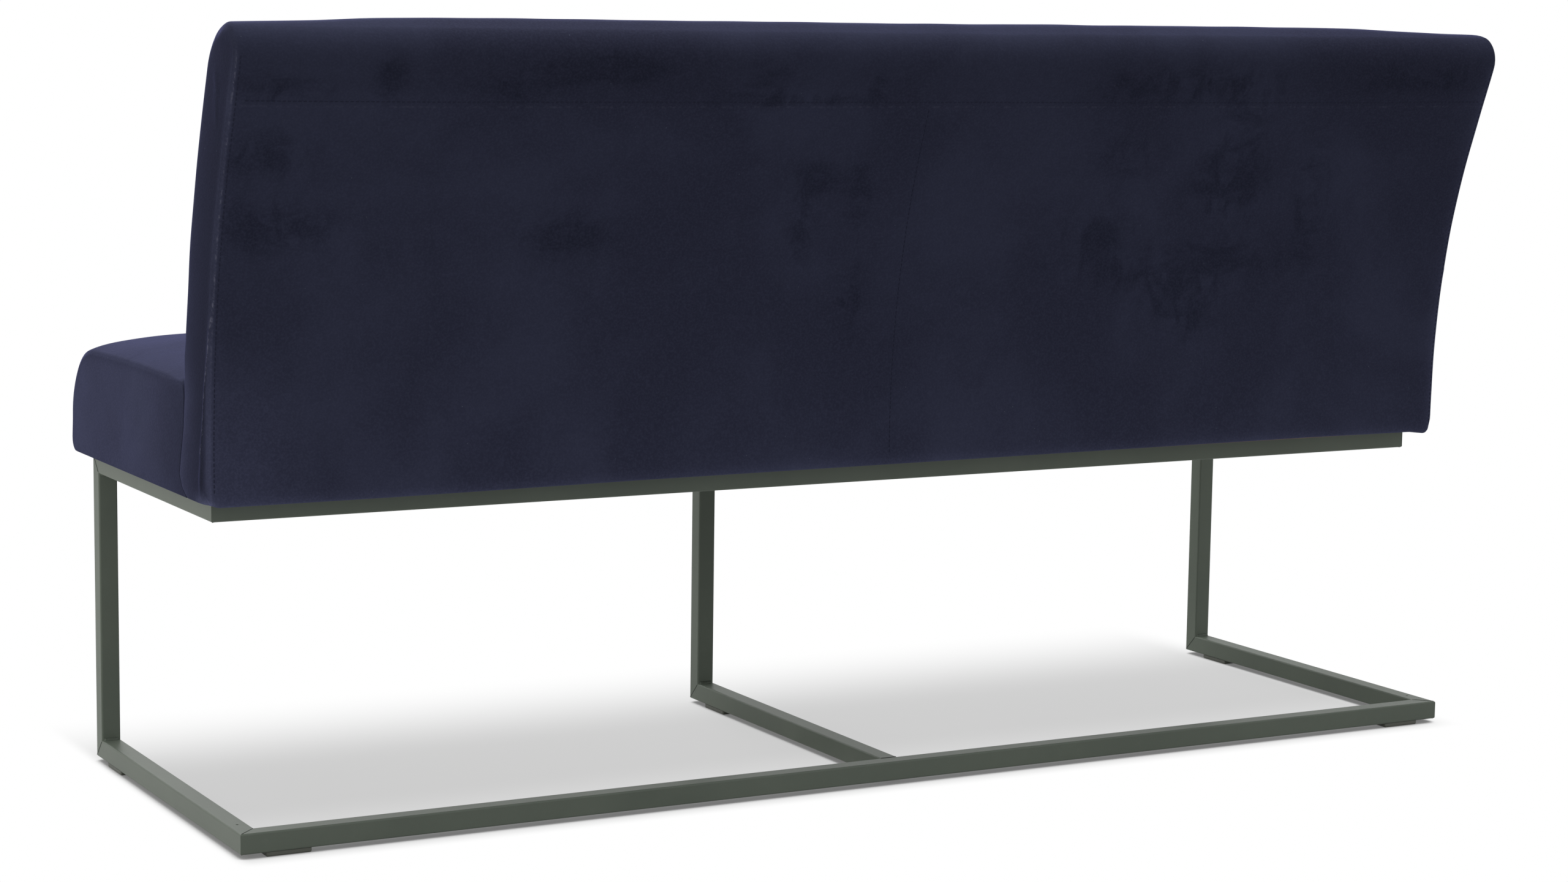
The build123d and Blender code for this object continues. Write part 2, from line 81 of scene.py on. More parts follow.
# Places read from the frame
half_length = cad_high.x
base_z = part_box("seat_rail_rear")[1].z
frame_rear_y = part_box("seat_rail_rear")[1].y
floor_rail_low, floor_rail_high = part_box("floor_rail_rear")
leg_low, leg_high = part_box("leg_left")
dust_low, dust_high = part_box("dust_cover")
seat_rear_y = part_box("seat_cover_top")[1].y
seat_front_y = cad_low.y
tube = floor_rail_high.z - floor_rail_low.z
frame_half = leg_high.x

# Back form
rear_overhang = 0.0415
back_depth = 0.095
back_straight_foot = 0.044
back_bend_radius = 0.930
back_straight_top = 0.1195
back_rear_radius = 0.028
back_front_radius = 0.042
back_end_round = 0.020
back_foot_radius = 0.005
back_top_draw = 0.002
back_right_rise = 0.004
back_front_draw = 0.005
back_rear_draw = 0.003
back_crown_zone = 0.300
back_draw_height = 0.070
back_seam_drop = 0.076
back_swell = 0.005
back_top_swell = 0.002
back_rear_edge = 0.006
back_foot_edge = 0.007
back_front_edge = 0.011
back_edge_turn = (0.25, 0.85)
back_foot_rise = 0.022
back_foot_reach = (0.010, 0.045)
back_joint_depth = (0.1, 0.5)
back_joint_top = (0.10, 0.16)
back_free_height = (0.09, 0.18)

# Seat form
seat_height = 0.142
seat_crown = 0.018
seat_bow = 0.003
seat_front_radius = 0.058
seat_lower_radius = 0.016
seat_rear_radius = 0.010
seat_foot_radius = 0.002
seat_front_draw = -0.003
seat_end_round = 0.022
seat_crown_zone = 0.180
seat_swell = 0.005
seat_edge = 0.004
seat_soft_height = (0.005, 0.05)
seat_soft_rear = (0.01, 0.05)

# Cloth
tiny = 1e-6
least_gap = 0.0003
least_lines = 5
back_crown_power = 2
seat_crown_power = 4
joint_edge = 0.0008
end_swell = 0.001
settle_reach = 0.050
cloth_lift = 0.0003
dust_recess = 0.002
dust_ease = 0.005
coarse_step = 0.013
fine_step = 0.007
upright_step = 0.0056
sim_frames = 20
sim_pressure = 4.0
smooth_rounds = 14
back_unevenness = 0.0003
seat_unevenness = 0.0004
back_calm = 0.05
seat_calm_foot = 0.03
seat_calm_rear = 0.02
wave_count = 12
wave_lengths = (0.06, 0.22)
held_share = 0.8
front_swell_depth = (0.6, 1.0)
front_swell_top = 0.05

# Lower rear edge of the back: places along X, and how far the edge hangs or lifts there
edge_places = (-0.800, -0.785, -0.765, -0.600, -0.300, 0.0, 0.300, 0.600, 0.800)
edge_moves = (-0.0015, 0.000, 0.0024, 0.0034, 0.0030, 0.0020, 0.0012, -0.0010, -0.0016)
edge_height = 0.050
edge_depth = (0.012, rear_overhang - 0.003)

# Fold between the end panels of the seat and the back: heights over the base, and moves to the rear
fold_heights = (-0.010, 0.0, 0.010, 0.022, 0.040, 0.072, 0.105, 0.125, 0.150)
fold_moves = (0.024, 0.020, 0.004, -0.004, 0.0, 0.010, 0.013, 0.009, 0.0)
fold_reach = 0.045
fold_length = 0.060

# Seams: a fine groove beside a lip, and a row of topstitching that holds the lip down
groove_depth = 0.00025
groove_width = 0.0010
lip_height = 0.00025
lip_width = 0.0018
stitch_offset = 0.0055
stitch_dip = 0.0002
stitch_width = 0.0010
stitch_pitch = 0.0055
stitch_length = 0.0042
thread_radius = 0.0004
stitch_shares = (0.0, 0.18, 0.5, 0.82, 1.0)
stitch_lifts = (-1.6, 0.3, 0.7, 0.3, -1.6)
row_foot = 0.012
row_top = 0.014
row_end = 0.009
level_seam_share = 0.5
front_seam_share = 0.5
seat_seam_share = 0.25
level_seam_wear = 0.16
end_seam_wear = 0.7
rear_clear = 0.004
middle_seam_top = 0.003
crisp_depth = (0.3, 0.6)
roll_fade = (0.008, 0.040)
seam_offsets = (0.0008, 0.0016, 0.0027, 0.0040, 0.0055, 0.0070, 0.0090, 0.0120)

# Low on the end panels of the back, the seam leaves the corner: depths and heights of its line
stray_depths = (0.000, 0.007, 0.015, 0.018, 0.028)
stray_heights = (0.210, 0.154, 0.118, 0.086, 0.050)
stray_rise = 0.0005
wear_width = 0.0013
stray_width = 0.0022

# Pulls in the velvet of the back's end panels: start and end (depth, height), and how far they rise
pulls = (
    ((0.023, 0.055), (0.029, 0.004), 0.0009),
    ((0.062, 0.445), (0.036, 0.415), 0.0008),
    ((0.050, 0.425), (0.030, 0.385), 0.0006),
)
pull_width = 0.0045

# Share of the velvet's colour: the lie of the nap on each panel, and on the rear a tone lighter low down
# (nap_low) and to the left (nap_left)
nap_rear = 1.03
nap_band = 0.95
band_blend = 0.028
nap_low = 0.12
nap_left = 0.04
nap_front = 1.15
nap_back_end = 0.70
nap_seat = 1.25
nap_seat_end = 1.56
nap_joint = 1.0
nap_rim = 0.009
nap_front_depth = (0.2, 0.8)
by_seat_depth = 0.02
by_seat_top = (0.09, 0.17)
joint_blend = 0.110

# Painted sheen along the edges of the back: lighter rims that stand in for the velvet's sheen at low
# angles, as share and reach. The turn favours the right end.
foot_painted_sheen = (1.1, 0.0040)
low_painted_sheen = (0.18, 0.035)
end_painted_sheen = (0.8, 0.0060)
end_painted_sheen_turn = 0.6
side_painted_sheen = (0.7, 0.014)

# Lighter corner low at the left end of the rear: share, and where it fades along X and upwards
corner_light = 0.45
corner_fade_x = (0.03, 0.13)
corner_fade_up = (0.05, 0.19)

# Brush marks in the nap of the rear panels: X, way up the back, half length, half height
rear_marks = (
    (0.755, 0.440, 0.040, 0.010),
    (0.635, 0.455, 0.014, 0.018),
    (0.500, 0.441, 0.036, 0.012),
    (0.440, 0.462, 0.055, 0.012),
    (0.368, 0.465, 0.032, 0.014),
    (0.205, 0.450, 0.022, 0.018),
    (0.170, 0.428, 0.070, 0.006),
    (0.066, 0.445, 0.008, 0.018),
    (-0.320, 0.447, 0.090, 0.018),
    (-0.680, 0.455, 0.080, 0.014),
    (0.758, 0.366, 0.032, 0.018),
    (0.755, 0.290, 0.060, 0.020),
    (0.410, 0.275, 0.040, 0.020),
    (0.120, 0.336, 0.026, 0.016),
    (0.062, 0.318, 0.012, 0.036),
    (0.128, 0.276, 0.018, 0.024),
    (0.058, 0.190, 0.016, 0.036),
    (-0.290, 0.362, 0.032, 0.020),
    (-0.270, 0.265, 0.040, 0.016),
    (-0.365, 0.222, 0.125, 0.018),
    (-0.400, 0.178, 0.045, 0.034),
    (-0.440, 0.330, 0.040, 0.075),
    (-0.565, 0.300, 0.018, 0.055),
)
loose_marks = 16
loose_share = 0.6
loose_lengths = (0.015, 0.070)
loose_rises = (0.012, 0.040)
brush_spread = 1.35
brush_base = 0.12

# Welds, painted-shade mitre lines and staples
mitre_radius = 0.0004
fillet_radius = 0.0028
weld_ripple = 0.0013
ripple_height = 0.10
ripple_unevenness = 0.03
bead_taper = 2.5
bead_tip = 0.45
bead_sides = 10
ring_ease = 0.86
mitre_reach = 0.84
fillet_reach = 0.85
staple_width = 0.010
staple_radius = 0.0005
staple_pitch = 0.045
staple_inset = 0.006
staple_start_x = 0.02
staple_start_y = 0.03
staple_end_y = 0.02
staple_slant = 0.12
staple_side_slant = 0.1
staple_bend = 0.94
staple_leg = 2.2
staple_sink = 0.6

# A direction that no tube of thread, weld or wire runs along
off_axis = (0.31, 0.67, 0.55)

# Camera, in the frame of the bench
camera_place = (1.85149, 3.34370, 0.86235)
camera_azimuth = 2.64118
camera_elevation = 0.12901
camera_roll = 0.01427
camera_lens = 74.15

# Light
world_strength = 0.40
floor_colour = (0.52, 0.52, 0.52, 1)
floor_size = 24.0
# Floor shadow: shares of the darker matte floor shown in the bench's footprint (a painted shadow over the
# real one), and its edges
shadow_share = 0.45
shadow_share_left = 0.48
shadow_turn_x = 0.1
shadow_left_edge = (0.010, 0.012)
shadow_right_edge = (0.02, 0.04)
shadow_rear_edge = (0.01, 0.035)
shadow_front_y = (-0.50, -0.13)
shadow_rear_y = 0.02
shadow_rear_share = 0.72
# Painted contact shadow round the frame's foot: occlusion reach, share, occlusion range, and fade past the
# ends
contact_reach = 0.017
contact_share = 0.85
contact_range = (0.30, 0.92)
contact_end = 0.010

# Lamps: name, place, target, size, power in watts, colour
lamps = (
    ("overhead", (0.2, -0.4, 3.2), (0.0, 0.0, 0.3), 2.6, 38.0, (1.0, 1.0, 1.0)),
    ("front", (0.4, -3.4, 2.6), (0.0, 0.0, 0.4), 2.4, 30.0, (1.0, 1.0, 1.0)),
    ("left_side", (3.6, -0.2, 1.0), (0.3, 0.0, 0.3), 1.8, 8.5, (1.0, 0.965, 0.82)),
)

# Colours
velvet_dark = (0.0360, 0.0388, 0.0700, 1)
velvet_light = (0.0480, 0.0525, 0.0930, 1)
velvet_brushed = (0.0245, 0.0268, 0.0490, 1)
velvet_tips = (0.072, 0.078, 0.136, 1)
velvet_lint = (0.14, 0.16, 0.22, 1)
velvet_frayed = (0.17, 0.175, 0.25, 1)
velvet_sheen = (0.38, 0.39, 0.96, 1)
thread_dark = (0.024, 0.026, 0.049, 1)
thread_light = (0.044, 0.048, 0.085, 1)
paint_light = (0.212, 0.246, 0.202, 1)
paint_dark = (0.192, 0.224, 0.185, 1)
paint_dust = (0.36, 0.37, 0.33, 1)
# Painted shade of the creases at the frame's mitres and joins
mitre_shade_light = (0.060, 0.068, 0.056, 1)
mitre_shade_dark = (0.048, 0.056, 0.046, 1)


def new_object(name, data):
    thing = bpy.data.objects.new(name, data)
    scene.collection.objects.link(thing)
    return thing


# Camera
def add_camera():
    """Camera at the photograph's place, turned about its own axis by the small roll."""
    level = math.cos(camera_elevation)
    back = Vector((
        math.sin(camera_azimuth) * level,
        -math.cos(camera_azimuth) * level,
        math.sin(camera_elevation),
    ))
    right = Vector((0, 0, 1)).cross(back).normalized()
    up = back.cross(right)
    rolled_right = right * math.cos(camera_roll) + up * math.sin(camera_roll)
    rolled_up = up * math.cos(camera_roll) - right * math.sin(camera_roll)
    data = bpy.data.cameras.new("photo_camera")
    data.lens = camera_lens
    data.sensor_width = 36
    data.clip_start = 0.05
    data.clip_end = 60
    camera = new_object("photo_camera", data)
    turn = Matrix((rolled_right, rolled_up, back)).transposed().to_4x4()
    camera.matrix_world = Matrix.Translation(camera_place) @ turn
    scene.camera = camera


# Node helpers
class Nodes:
    """Short names for making one node tree."""

    def __init__(self, tree, output):
        self.tree = tree
        self.tree.nodes.clear()
        self.output = self.add(output)

    def add(self, kind, **settings):
        node = self.tree.nodes.new(kind)
        for key, value in settings.items():
            setattr(node, key, value)
        return node

    def put(self, socket, value):
        """Set a socket from a number, a colour or another node's output."""
        if isinstance(value, bpy.types.NodeSocket):
            self.tree.links.new(value, socket)
        else:
            socket.default_value = value

    def fill(self, node, **values):
        for key, value in values.items():
            self.put(node.inputs[key.replace("_", " ")], value)
        return node

    def finish(self, shader):
        self.put(self.output.inputs["Surface"], shader.outputs[0])

    def math(self, operation, first, second):
        node = self.add("ShaderNodeMath", operation=operation)
        self.put(node.inputs[0], first)
        self.put(node.inputs[1], second)
        return node.outputs[0]

    def ramp(self, factor, low, high, start=0.0, end=1.0):
        node = self.add("ShaderNodeMapRange", clamp=True, interpolation_type="SMOOTHSTEP")
        self.fill(node, Value=factor, From_Min=low, From_Max=high, To_Min=start, To_Max=end)
        return node.outputs["Result"]

    def seen_directly(self):
        """1 for what the camera sees, itself or in a reflection or through glass, and 0 for other light."""
        rays = self.add("ShaderNodeLightPath").outputs
        seen = self.math("MAXIMUM", rays["Is Camera Ray"], rays["Is Glossy Ray"])
        return self.math("MAXIMUM", seen, rays["Is Transmission Ray"])


class Finish(Nodes):
    """Node tree of one material, with textures laid in the frame of the bench."""

    def __init__(self, name):
        self.material = bpy.data.materials.new(name)
        self.material.use_nodes = True
        super().__init__(self.material.node_tree, "ShaderNodeOutputMaterial")
        self.place = self.add("ShaderNodeTexCoord").outputs["Object"]

    def scaled(self, scale):
        return self.fill(self.add("ShaderNodeMapping"), Vector=self.place, Scale=scale).outputs["Vector"]

    def noise(self, scale, detail=3.0, roughness=0.5, distortion=0.0, vector=None):
        node = self.add("ShaderNodeTexNoise")
        self.fill(node, Vector=vector or self.place, Scale=scale, Detail=detail)
        self.fill(node, Roughness=roughness, Distortion=distortion)
        return node.outputs["Fac"]

    def attribute(self, name):
        return self.add("ShaderNodeAttribute", attribute_name=name).outputs["Fac"]

    def mix(self, factor, first, second):
        node = self.add("ShaderNodeMix", data_type="RGBA")
        for index, value in ((0, factor), (6, first), (7, second)):
            self.put(node.inputs[index], value)
        return node.outputs[2]

    def scale_colour(self, colour, share):
        node = self.add("ShaderNodeVectorMath", operation="SCALE")
        self.put(node.inputs[0], colour)
        self.put(node.inputs["Scale"], share)
        return node.outputs[0]

    def bump(self, height, distance, strength=1.0, normal=None):
        node = self.fill(self.add("ShaderNodeBump"), Height=height, Distance=distance, Strength=strength)
        if normal is not None:
            self.put(node.inputs["Normal"], normal)
        return node.outputs["Normal"]

    def shade(self, **values):
        self.finish(self.fill(self.add("ShaderNodeBsdfPrincipled"), **values))
        return self.material


# Materials
def velvet():
    """Navy velvet: dark pile, brushed patches, blue sheen at low angles, pale seams and a little lint."""
    n = Finish("navy_velvet")
    broad = n.ramp(n.noise(5.0, 3.0, 0.55, 0.3), 0.38, 0.66)
    upright = n.ramp(n.noise(34.0, 4.0, 0.60, 0.6, n.scaled((1.0, 1.0, 0.45))), 0.30, 0.74)
    level = n.ramp(n.noise(28.0, 4.0, 0.60, 0.6, n.scaled((0.40, 1.0, 1.0))), 0.32, 0.76)
    ragged = n.math("MAXIMUM", upright, level)
    strokes = n.ramp(n.math("MULTIPLY", ragged, n.attribute("brush")), 0.05, 0.85)
    pile = n.noise(420.0, 2.0, 0.6)
    colour = n.mix(broad, velvet_dark, velvet_light)
    colour = n.mix(n.math("MULTIPLY", strokes, 0.80), colour, velvet_brushed)
    colour = n.mix(n.ramp(pile, 0.35, 0.75, 0.0, 0.30), colour, velvet_tips)
    mottle = n.ramp(n.noise(110.0, 3.0, 0.6), 0.30, 0.70, 0.975, 1.025)
    # The nap share also carries the painted sheen along the back's edges.
    colour = n.scale_colour(colour, n.math("MULTIPLY", n.attribute("nap"), mottle))
    cells = n.fill(n.add("ShaderNodeTexVoronoi"), Vector=n.place, Scale=60.0)
    speck = n.ramp(cells.outputs["Distance"], 0.018, 0.038, 1.0, 0.0)
    rare = n.ramp(cells.outputs["Color"], 0.42, 0.78)
    colour = n.mix(n.math("MULTIPLY", speck, rare), colour, velvet_lint)
    frayed = n.math("MULTIPLY", n.attribute("wear"), n.ramp(n.noise(170.0, 3.0, 0.7), 0.46, 0.64))
    colour = n.mix(frayed, colour, velvet_frayed)
    normal = n.bump(pile, 0.0004, 0.55)
    normal = n.bump(n.noise(60.0, 3.0, 0.5), 0.0010, 0.14, normal)
    return n.shade(
        Base_Color=colour, Roughness=n.ramp(broad, 0.0, 1.0, 0.82, 0.95), Normal=normal,
        Specular_IOR_Level=0.02, Sheen_Weight=0.50, Sheen_Roughness=0.22, Sheen_Tint=velvet_sheen,
    )


def thread():
    """Twisted sewing thread in the colour of the velvet."""
    n = Finish("navy_thread")
    twist = n.noise(900.0, 2.0)
    colour = n.mix(twist, thread_dark, thread_light)
    return n.shade(Base_Color=colour, Roughness=0.75, Normal=n.bump(twist, 0.0002), Specular_IOR_Level=0.05)


def paint(name, colour, shadow):
    """Satin powder coat with a fine orange peel and slightly uneven tone."""
    n = Finish(name)
    peel = n.noise(650.0, 2.0, 0.5)
    dust = n.ramp(n.noise(90.0, 5.0, 0.7), 0.55, 0.8)
    mixed = n.mix(n.ramp(n.noise(7.0, 4.0, 0.6), 0.3, 0.7), colour, shadow)
    mixed = n.mix(n.math("MULTIPLY", dust, 0.10), mixed, paint_dust)
    return n.shade(
        Base_Color=mixed, Roughness=n.ramp(dust, 0.0, 1.0, 0.40, 0.52), Normal=n.bump(peel, 0.00012, 0.5),
        Specular_IOR_Level=0.15,
    )


def plastic():
    """Moulded grey-green glide plastic."""
    n = Finish("glide_grey")
    grain = n.noise(1200.0, 2.0)
    colour = n.mix(n.noise(60.0), (0.120, 0.128, 0.105, 1), (0.150, 0.158, 0.132, 1))
    rough = n.ramp(grain, 0.3, 0.7, 0.45, 0.62)
    return n.shade(Base_Color=colour, Roughness=rough, Normal=n.bump(grain, 0.0001))


def timber(name, light, dark, stretch):
    """Softwood or plywood with the grain along the longest way of the stretch."""
    n = Finish(name)
    grain = n.noise(9.0, 6.0, 0.65, 0.8, n.scaled(stretch))
    fine = n.noise(60.0, 3.0, 0.6, 0.0, n.scaled(stretch))
    colour = n.mix(n.ramp(grain, 0.3, 0.7), light, dark)
    colour = n.mix(n.ramp(fine, 0.5, 0.8, 0.0, 0.4), colour, dark)
    return n.shade(Base_Color=colour, Roughness=0.72, Normal=n.bump(fine, 0.0003, 0.5))


def dust_cloth():
    """Black bonded cloth with a close dimple pattern."""
    n = Finish("dust_cloth_black")
    dimples = n.fill(n.add("ShaderNodeTexVoronoi"), Vector=n.place, Scale=700.0)
    fibre = n.noise(300.0, 4.0, 0.7)
    colour = n.mix(fibre, (0.008, 0.008, 0.009, 1), (0.030, 0.030, 0.032, 1))
    normal = n.bump(dimples.outputs["Distance"], 0.0004, 0.7)
    return n.shade(Base_Color=colour, Roughness=0.9, Normal=normal)


def zinc():
    """Bright zinc plate with faint staining."""
    n = Finish("zinc_plate")
    stain = n.noise(120.0, 4.0, 0.6)
    colour = n.mix(stain, (0.46, 0.47, 0.48, 1), (0.66, 0.66, 0.64, 1))
    return n.shade(Base_Color=colour, Metallic=1.0, Roughness=n.ramp(stain, 0.3, 0.7, 0.28, 0.46))


velvet_cloth = velvet()
navy_thread = thread()
frame_paint = paint("frame_paint", paint_light, paint_dark)
# Dark coat for the mitre lines: painted shade of the creases there.
mitre_shade_paint = paint("mitre_shade_paint", mitre_shade_light, mitre_shade_dark)
glide_grey = plastic()
softwood = timber("softwood", (0.62, 0.44, 0.26, 1), (0.42, 0.26, 0.13, 1), (0.25, 2.0, 2.0))
plywood = timber("plywood", (0.60, 0.45, 0.28, 1), (0.46, 0.31, 0.17, 1), (0.4, 3.0, 3.0))
cloth_black = dust_cloth()
zinc_plate = zinc()

finishes = (
    (("leg_", "runner_", "floor_rail", "seat_rail"), frame_paint),
    (("glide_",), glide_grey),
    (("seat_wood", "seat_cross", "seat_corner", "back_wood", "back_post", "back_lumbar"), softwood),
    (("seat_deck", "back_board"), plywood),
    (("dust_cover",), cloth_black),
    (("seat_bolts", "seat_washers", "seat_inserts", "back_bolts", "back_inserts"), zinc_plate),
)


def dress(piece, material):
    """Give a piece one material."""
    piece.data.materials.clear()
    piece.data.materials.append(material)


for prefixes, finish in finishes:
    for name, node in nodes.items():
        if name.startswith(prefixes):
            dress(node, finish)


# Mesh helpers
def add_piece(name, points, faces, material):
    """Smooth mesh object from points and faces, riding on the bench."""
    mesh = bpy.data.meshes.new(name)
    mesh.from_pydata([tuple(p) for p in points], [], [tuple(f) for f in faces])
    mesh.polygons.foreach_set("use_smooth", [True] * len(mesh.polygons))
    mesh.update()
    piece = new_object(name, mesh)
    dress(piece, material)
    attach(piece, "root")
    return piece


def add_tubes(name, paths, radii, material, sides=6):
    """Round tubes with closed ends as one mesh. Each path has one radius, or one for each point."""
    points, faces = [], []
    angles = np.linspace(0, 2 * math.pi, sides, endpoint=False)
    for path, radius in zip(paths, radii):
        path = np.asarray(path, float)
        along = np.gradient(path, axis=0)
        along /= np.linalg.norm(along, axis=1)[:, None]
        across = np.cross(along, off_axis)
        across /= np.linalg.norm(across, axis=1)[:, None]
        other = np.cross(along, across)
        first = len(points)
        for centre, a, b, r in zip(path, across, other, np.broadcast_to(radius, len(path))):
            points.extend(centre + r * (math.cos(t) * a + math.sin(t) * b) for t in angles)
        for low in range(first, len(points) - sides, sides):
            for k in range(sides):
                after = (k + 1) % sides
                faces.append((low + k, low + after, low + sides + after, low + sides + k))
        faces.append(range(first + sides - 1, first - 1, -1))
        faces.append(range(len(points) - sides, len(points)))
    return add_piece(name, points, faces, material)


def smooth_step(value, low, high):
    share = np.clip((value - low) / (high - low), 0, 1)
    return share * share * (3 - 2 * share)


def fall(value, low, high):
    return 1 - smooth_step(value, low, high)


def bell(value, middle, width):
    return np.exp(-((value - middle) / width) ** 2)


def graded(low, high, seams, step):
    """Places of mesh lines between two limits: close together beside each seam and even between."""
    fixed = {low, high}
    for seam in seams:
        for offset in (0.0, *seam_offsets):
            fixed.update(place for place in (seam - offset, seam + offset) if low <= place <= high)
    fixed = np.array(sorted(fixed))
    fixed = fixed[np.concatenate(([True], np.diff(fixed) > least_gap))]
    lines = []
    for start, end in zip(fixed[:-1], fixed[1:]):
        parts = max(1, math.ceil((end - start) / step))
        lines.extend(np.linspace(start, end, parts, endpoint=False))
    return np.array(lines + [high])


class Lattice:
    """Skin of a box of mesh lines along three axes, mirrored where one of them runs backwards."""

    def __init__(self, axes, mirrored):
        self.axes = axes
        self.mirrored = mirrored
        self.shape = tuple(len(axis) for axis in axes)
        skin = np.ones(self.shape, bool)
        skin[1:-1, 1:-1, 1:-1] = False
        self.cells = np.argwhere(skin)
        self.ids = np.full(self.shape, -1)
        self.ids[skin] = np.arange(len(self.cells))
        self.places = np.stack([axis[self.cells[:, k]] for k, axis in enumerate(axes)], 1)
        self.quads = np.concatenate([self.side(axis, end) for axis in range(3) for end in (0, -1)])

    def side(self, axis, end):
        """Quads of one side, facing outwards."""
        grid = np.take(self.ids, end, axis)
        corners = (grid[:-1, :-1], grid[1:, :-1], grid[1:, 1:], grid[:-1, 1:])
        quads = np.stack([c.ravel() for c in corners], 1)
        outwards = (end == -1) != (axis == 1)
        return quads if outwards != self.mirrored else quads[:, ::-1]

    def spread(self, moves, coarse):
        """Carry moves from the points of a coarser lattice over to this one, smoothly."""
        weights = [cubic_weights(c, f) for c, f in zip(coarse.axes, self.axes)]
        full = np.zeros(self.shape + (3,))
        for axis in range(3):
            one, two = [weights[k] for k in range(3) if k != axis]
            for end in (0, -1):
                target = [slice(None)] * 3
                target[axis] = end
                grid = moves[np.take(coarse.ids, end, axis)]
                full[tuple(target)] = np.einsum("ai,ijk,bj->abk", one, grid, two)
        return full[tuple(self.cells.T)]


def cubic_weights(coarse, fine):
    """Weights that carry values on even lines over to other lines by cubic interpolation."""
    count = len(coarse)
    place = np.clip((fine - coarse[0]) / (coarse[-1] - coarse[0]) * (count - 1), 0, count - 1)
    start = np.minimum(place.astype(int), count - 2)
    t = place - start
    parts = (
        -0.5 * t + t * t - 0.5 * t ** 3,
        1 - 2.5 * t * t + 1.5 * t ** 3,
        0.5 * t + 2 * t * t - 1.5 * t ** 3,
        -0.5 * t * t + 0.5 * t ** 3,
    )
    weights = np.zeros((len(fine), count))
    for shift, part in zip((-1, 0, 1, 2), parts):
        np.add.at(weights, (np.arange(len(fine)), np.clip(start + shift, 0, count - 1)), part)
    return weights


def ease(distance, zone, power):
    """How far a form is drawn in at a distance from its end: 1 at the end, 0 past the zone."""
    return np.clip(1 - distance / zone, 0, None) ** power


def settle(distance):
    """Share of the full swelling at a distance from a seam."""
    return 1 - bell(distance, 0, settle_reach)


def round_corner(across, up, corner, outward, radius):
    """Turn one square corner of a section into an arc, spreading the points inside it evenly."""
    over = (across - corner[0]) * outward[0] + radius
    above = (up - corner[1]) * outward[1] + radius
    inside = (over > 0) & (above > 0)
    reach = np.hypot(over, above)
    share = np.where(inside, np.maximum(over, above) / np.where(reach > 0, reach, 1), 1)
    across = np.where(inside, corner[0] + outward[0] * (over * share - radius), across)
    up = np.where(inside, corner[1] + outward[1] * (above * share - radius), up)
    return across, up


def rim_distance(across, up, depth, height):
    """Distance of a place on an end panel from the panel's edge."""
    return np.minimum(np.minimum(across, depth - across), np.minimum(up, height - up))


def round_ends(x, rim, radius):
    """Rounded edge round each end panel: the new X, and how far the section shrinks there."""
    from_end = half_length - np.abs(x)
    gap = np.clip(radius - from_end, 0, None)
    reach = np.hypot(gap, radius)
    shrink = radius - radius ** 2 / reach
    body = np.where(gap > 0, radius - gap * radius / reach, from_end)
    panel = radius - radius ** 2 / np.hypot(radius, np.clip(radius - rim, 0, None))
    inset = np.where(from_end > 0, body, panel)
    return np.sign(x) * (half_length - inset) * (1 - end_swell / half_length), shrink


def bend(inward, along):
    """Section of the back: upright foot, arc and leaning straight top."""
    turn = np.clip((along - back_straight_foot) / back_bend_radius, 0, back_lean)
    reach = back_bend_radius + inward
    past = np.clip(along - back_straight_foot - back_bend_radius * back_lean, 0, None)
    past = np.where(along < back_straight_foot, along - back_straight_foot, past)
    y = back_hub_y - reach * np.cos(turn) + past * np.sin(turn)
    z = back_bend_z + reach * np.sin(turn) + past * np.cos(turn)
    return y, z


def warp_fold(points):
    """Bend the meeting line of seat and back at the ends to the rear and the front, as sewn velvet lies."""
    x, y, z = points.T
    move = np.interp(z - base_z, fold_heights, fold_moves)
    near = smooth_step(np.abs(x), half_length - fold_length, half_length)
    return np.stack([x, y + move * near * bell(y, seat_rear_y, fold_reach), z], 1)


def lift_over_dust(points):
    """Keep the underside off the frame and hollow over the dust cover. Behind the frame it hangs free."""
    x, y, z = points.T
    inside = np.minimum(dust_high.x - np.abs(x), np.minimum(y - dust_low.y, dust_high.y - y))
    lift = cloth_lift + dust_recess * smooth_step(inside, 0, dust_ease)
    held = np.maximum(z, base_z + lift)
    return np.stack([x, y, np.where(y > frame_rear_y + cloth_lift, z, held)], 1)


# The lean brings the top of the front roll to the height of the bench
back_rear_y = frame_rear_y + rear_overhang
back_hub_y = back_rear_y + back_bend_radius
back_bend_z = base_z + back_straight_foot
roll_radius = back_bend_radius + back_depth - back_front_radius
roll_along = back_straight_top - back_front_radius
roll_rise = cad_high.z - back_front_radius - back_bend_z
back_lean = math.asin(roll_rise / math.hypot(roll_radius, roll_along)) - math.atan2(roll_along, roll_radius)
back_length = back_straight_foot + back_bend_radius * back_lean + back_straight_top
back_seam_along = back_length - back_seam_drop
seat_depth = seat_rear_y - seat_front_y


